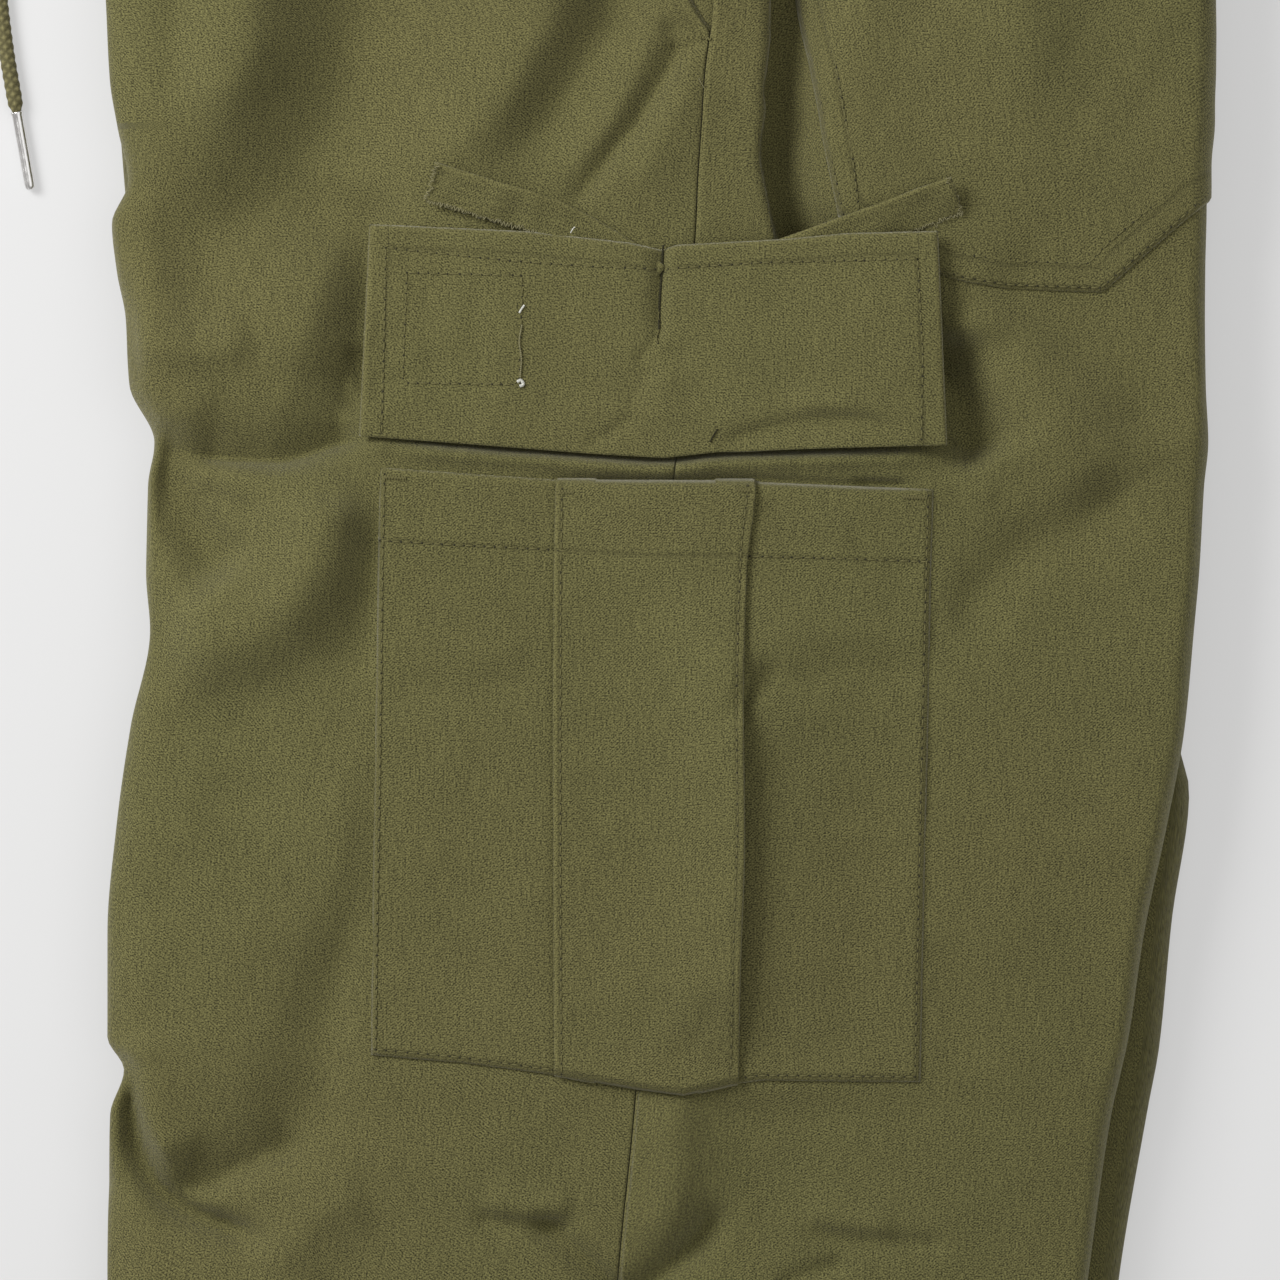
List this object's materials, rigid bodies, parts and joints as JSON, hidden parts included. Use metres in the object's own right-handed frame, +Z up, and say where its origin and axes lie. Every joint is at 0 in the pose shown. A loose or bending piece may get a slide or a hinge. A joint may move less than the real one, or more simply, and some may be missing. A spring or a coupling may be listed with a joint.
{
  "type": "cargo trousers laid flat on their side",
  "caption": "Olive cargo trousers lying on their right side, leg on leg, with patch pockets, a turned-up pocket flap and a drawcord with metal tips.",
  "frame": {"origin": "centre of the garment's own bounding box, without its cord ends, on the surface that it lies on", "axes": "+X from the garment's front edge to its back edge, +Y to the waist along its length, +Z up from the surface"},
  "size_m": [0.4375, 1.0198, 0.0363],
  "materials": {
    "olive_twill": "matte brushed cotton twill, olive",
    "olive_braid": "round braided cord, olive",
    "tip_metal": "polished",
    "eyelet_metal": "polished"
  },
  "bodies": {
    "root": {"left_front_panel": "olive_twill", "left_back_panel": "olive_twill", "right_front_panel": "olive_twill", "right_back_panel": "olive_twill", "left_pocket_facing": "olive_twill", "right_pocket_facing": "olive_twill", "left_cargo_pocket": "olive_twill", "left_cargo_flap": "olive_twill", "left_flap_tab_front": "olive_twill", "left_flap_tab_back": "olive_twill", "left_back_pocket": "olive_twill", "right_cargo_pocket": "olive_twill", "right_cargo_flap": "olive_twill", "right_back_pocket": "olive_twill", "waistband": "olive_twill", "left_drawcord": "olive_braid", "right_drawcord": "olive_braid", "left_aglet": "tip_metal", "right_aglet": "tip_metal", "left_eyelet": "eyelet_metal", "right_eyelet": "eyelet_metal"}
  },
  "joints": []
}
